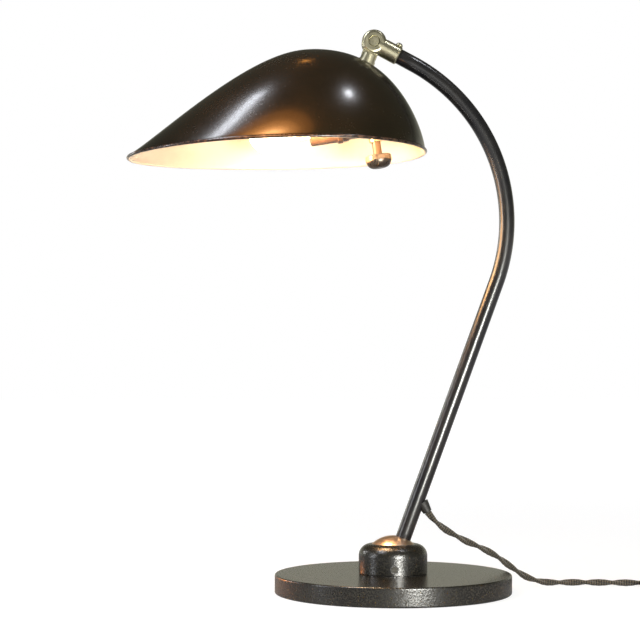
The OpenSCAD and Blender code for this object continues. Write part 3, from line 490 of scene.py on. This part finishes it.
# Finish of each CAD node
FINISHES = (
    (base_paint, ("base_plate",)),
    (felt, ("felt_pad",)),
    (hub_paint, ("hub_housing",)),
    (steel, ("swivel_plate", "plate_screws", "swivel_stud", "cone_washer", "flat_washer", "swivel_nut",
             "pin_springs", "knuckle_washers", "inner_wedge", "holder_strip")),
    (dome_nickel_painted_warm, ("arm_dome",)),
    (tube_paint, ("arm_tube",)),
    (rubber, ("cord_bush",)),
    (aged_nickel, ("knuckle_fork", "knuckle_screw", "knuckle_nut", "sleeve_screw", "shade_tongue",
                   "seat_wedge")),
    (brass, ("pin_spacers", "nipple_nut", "holder_nipple", "holder_nut", "thread_shell", "centre_contact",
             "switch_bush", "plug_pins")),
    (bakelite, ("holder_cap", "holder_skirt", "skirt_ring", "plug_body")),
    (knob_nickel_painted_shade, ("switch_knob",)),
    (brown_brass, ("switch_spindle",)),
    (dark_steel, ("tilt_pin",)),
    (ceramic, ("contact_block", "switch_cam")),
    (lead_skin, ("holder_leads", "arm_flex")),
    (opal, ("bulb_glass",)),
    (bulb_metal, ("bulb_cap", "filament")),
    (clear, ("bulb_mount",)),
    (enamel, ("shade_shell",)),
)
for look, names in FINISHES:
    for name in names:
        nodes[name].data.materials.clear()
        nodes[name].data.materials.append(look.material)


# Floor: grey to light, so that the lamp's shadow stays on it, lifted to white for the camera, most of all
# further out; part of the lift shows in the lamp's own gloss
FLOOR_HALF = 30
LIFT_NEAR, LIFT_FAR = (0.5, 0.86), (2.4, 1.0)
GLOSS_NEAR, GLOSS_FAR = (0.6, 0.2), (4.0, 0.8)

floor_look = Look("floor", Roughness=0.9, Specular_IOR_Level=0.1)
floor_look.colour(floor_look.noise(3), (0.19, 0.19, 0.19), (0.21, 0.21, 0.21))
away = floor_look.node("ShaderNodeVectorMath", {0: floor_look.where}, operation="LENGTH").outputs["Value"]
rays = floor_look.node("ShaderNodeLightPath").outputs
straight_rays = floor_look.calc(rays["Is Camera Ray"], rays["Is Transmission Ray"], "MAXIMUM")
gloss_share = floor_look.span(away, GLOSS_NEAR[0], GLOSS_FAR[0], GLOSS_NEAR[1], GLOSS_FAR[1])
gloss_rays = floor_look.calc(rays["Is Glossy Ray"], gloss_share, "MULTIPLY")
lift_strength = floor_look.calc(floor_look.calc(straight_rays, gloss_rays),
                                floor_look.span(away, LIFT_NEAR[0], LIFT_FAR[0], LIFT_NEAR[1], LIFT_FAR[1]),
                                "MULTIPLY")
lift = floor_look.node("ShaderNodeEmission", {"Strength": lift_strength})
both = floor_look.node("ShaderNodeAddShader", {0: floor_look.shader.outputs[0], 1: lift.outputs[0]})
floor_look.tree.links.new(both.outputs[0], floor_look.tree.nodes["Material Output"].inputs["Surface"])
floor_corners = [(x * FLOOR_HALF, y * FLOOR_HALF, 0) for x, y in ((-1, -1), (1, -1), (1, 1), (-1, 1))]
floor = new_mesh("floor", floor_corners, [(0, 1, 2, 3)], [floor_look.material])


# World: white for the camera and through glass; gloss sees white low down behind the lamp and a dim room
# elsewhere; matt surfaces get an even grey
ROOM_DIM, ROOM_PALE = (0.09, 0.09, 0.07, 1), (0.66, 0.65, 0.53, 1)
MATT_GREY, WHITE = (0.25, 0.25, 0.25, 1), (1, 1, 1, 1)

world = bpy.data.worlds.new("world")
world.use_nodes = True
scene.world = world
sky = world.node_tree


def sky_mix(factor, a, b):
    return add_node(sky, "ShaderNodeMix", {MIX_FACTOR: factor, MIX_A: a, MIX_B: b},
                    data_type="RGBA").outputs[MIX_RESULT]


def sky_fade(value, low, high, to_low, to_high):
    return add_node(sky, "ShaderNodeMapRange", {"Value": value, "From Min": low, "From Max": high,
                                                "To Min": to_low, "To Max": to_high},
                    interpolation_type="SMOOTHSTEP").outputs[0]


seen_way = add_node(sky, "ShaderNodeTexCoord").outputs["Generated"]
way = add_node(sky, "ShaderNodeSeparateXYZ", {0: seen_way}).outputs
low_down = sky_fade(way["Z"], 0.1, 0.42, 1.0, 0.0)
behind = sky_fade(way["Y"], 0.1, 0.75, 0.0, 1.0)
backdrop = add_node(sky, "ShaderNodeMath", {0: low_down, 1: behind}, operation="MULTIPLY")
paths = add_node(sky, "ShaderNodeLightPath").outputs
straight = add_node(sky, "ShaderNodeMath", {0: paths["Is Camera Ray"], 1: paths["Is Transmission Ray"]},
                    operation="MAXIMUM")
gloss = sky_mix(backdrop.outputs[0], ROOM_DIM, ROOM_PALE)
unseen = sky_mix(paths["Is Glossy Ray"], MATT_GREY, gloss)
seen = sky_mix(straight.outputs[0], unseen, WHITE)
sky.links.new(seen, sky.nodes["Background"].inputs["Color"])


# Lights
def area_light(name, place, target, size, power, colour=(1, 1, 1), along=None):
    """A soft light that faces a point: a disc, or a rectangle where its size is a pair.

    The rectangle's first side runs along a direction where one is given.
    """
    data = bpy.data.lights.new(name, "AREA")
    if isinstance(size, tuple):
        data.shape = "RECTANGLE"
        data.size, data.size_y = size
    else:
        data.shape = "DISK"
        data.size = size
    data.energy = power
    data.color = colour
    made = bpy.data.objects.new(name, data)
    facing = (Vector(target) - Vector(place)).normalized()
    if along:
        x = (Vector(along) - facing * facing.dot(Vector(along))).normalized()
        turned = Matrix((x, (-facing).cross(x), -facing)).transposed().to_4x4()
        made.matrix_world = Matrix.Translation(place) @ turned
    else:
        made.location = place
        made.rotation_euler = facing.to_track_quat("-Z", "Y").to_euler()
    scene.collection.objects.link(made)
    return made


def light_only(light, name, piece):
    """The light reaches one piece and nothing else."""
    reached = bpy.data.collections.new(name)
    reached.objects.link(piece)
    light.light_linking.receiver_collection = reached


area_light("strip", (-0.86, -0.43, 1.6), (-0.12, -0.05, 0.4), size=(0.95, 0.16), power=11.5,
           colour=(0.88, 0.92, 1.0), along=(0.64, 0.77, 0))
area_light("spot", (0.56, -0.36, 1.62), (-0.04, -0.05, 0.4), size=0.14, power=2.3,
           colour=(0.92, 0.94, 1.0))
area_light("front", (0.27, -0.82, 0.13), (0.02, 0, 0.08), size=(0.2, 0.24), power=10,
           colour=(1, 0.99, 0.92))
area_light("side", (-1.65, -0.5, 0.45), (0, 0, 0.2), size=(0.14, 0.85), power=6,
           colour=(0.93, 0.95, 1.0))
area_light("edge", (-1.4, 0.86, 0.62), (0, 0, 0.2), size=(0.1, 0.5), power=3)

# The bulb's glare on the shade above it: discs of light by size and power, each smaller, paler and a little
# further forward than the last; they ride the shade and reach nothing else
GLARE_DISCS = ((0.24, 0.36), (0.15, 0.26), (0.09, 0.17), (0.05, 0.12))
for k, (size, power) in enumerate(GLARE_DISCS):
    spill = area_light(f"spill_{k}", (-0.142, -0.252 - 0.003 * k, 0.487), (-0.09, -0.083, 0.38),
                       size, power, colour=(1.0, 0.33 + 0.06 * k, 0.05 + 0.05 * k))
    spill.visible_camera = False
    light_only(spill, f"glare_on_{k}", shade)
    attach(spill, "shade")

# The bulb's own light on the hub, and the warm light that the table throws back on the base's side
down = area_light("down", (-0.1, 0, 0.35), (0, 0, 0.04), size=0.12, power=0.6, colour=(1.0, 0.52, 0.2))
down.visible_camera = False
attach(down, "shade")
low_warm = area_light("low_warm", (-1.15, 0.95, 0.16), (0, 0, 0.02), size=(0.5, 0.3), power=6.0,
                      colour=(1.0, 0.3, 0.06))
light_only(low_warm, "tinted", nodes["base_plate"])
area_light("ember", (-0.16, 0.45, 1.66), (-0.07, -0.05, 0.43), size=0.05, power=0.22,
           colour=(1.0, 0.4, 0.08))

glow = bpy.data.lights.new("glow", "POINT")
glow.energy = 1.6
glow.color = (1.0, 0.8, 0.55)
glow.shadow_soft_size = 0.02
glow_place = bpy.data.objects.new("glow", glow)
glow_place.location = (-0.068, -0.02, 0.388)
scene.collection.objects.link(glow_place)
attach(glow_place, "shade")
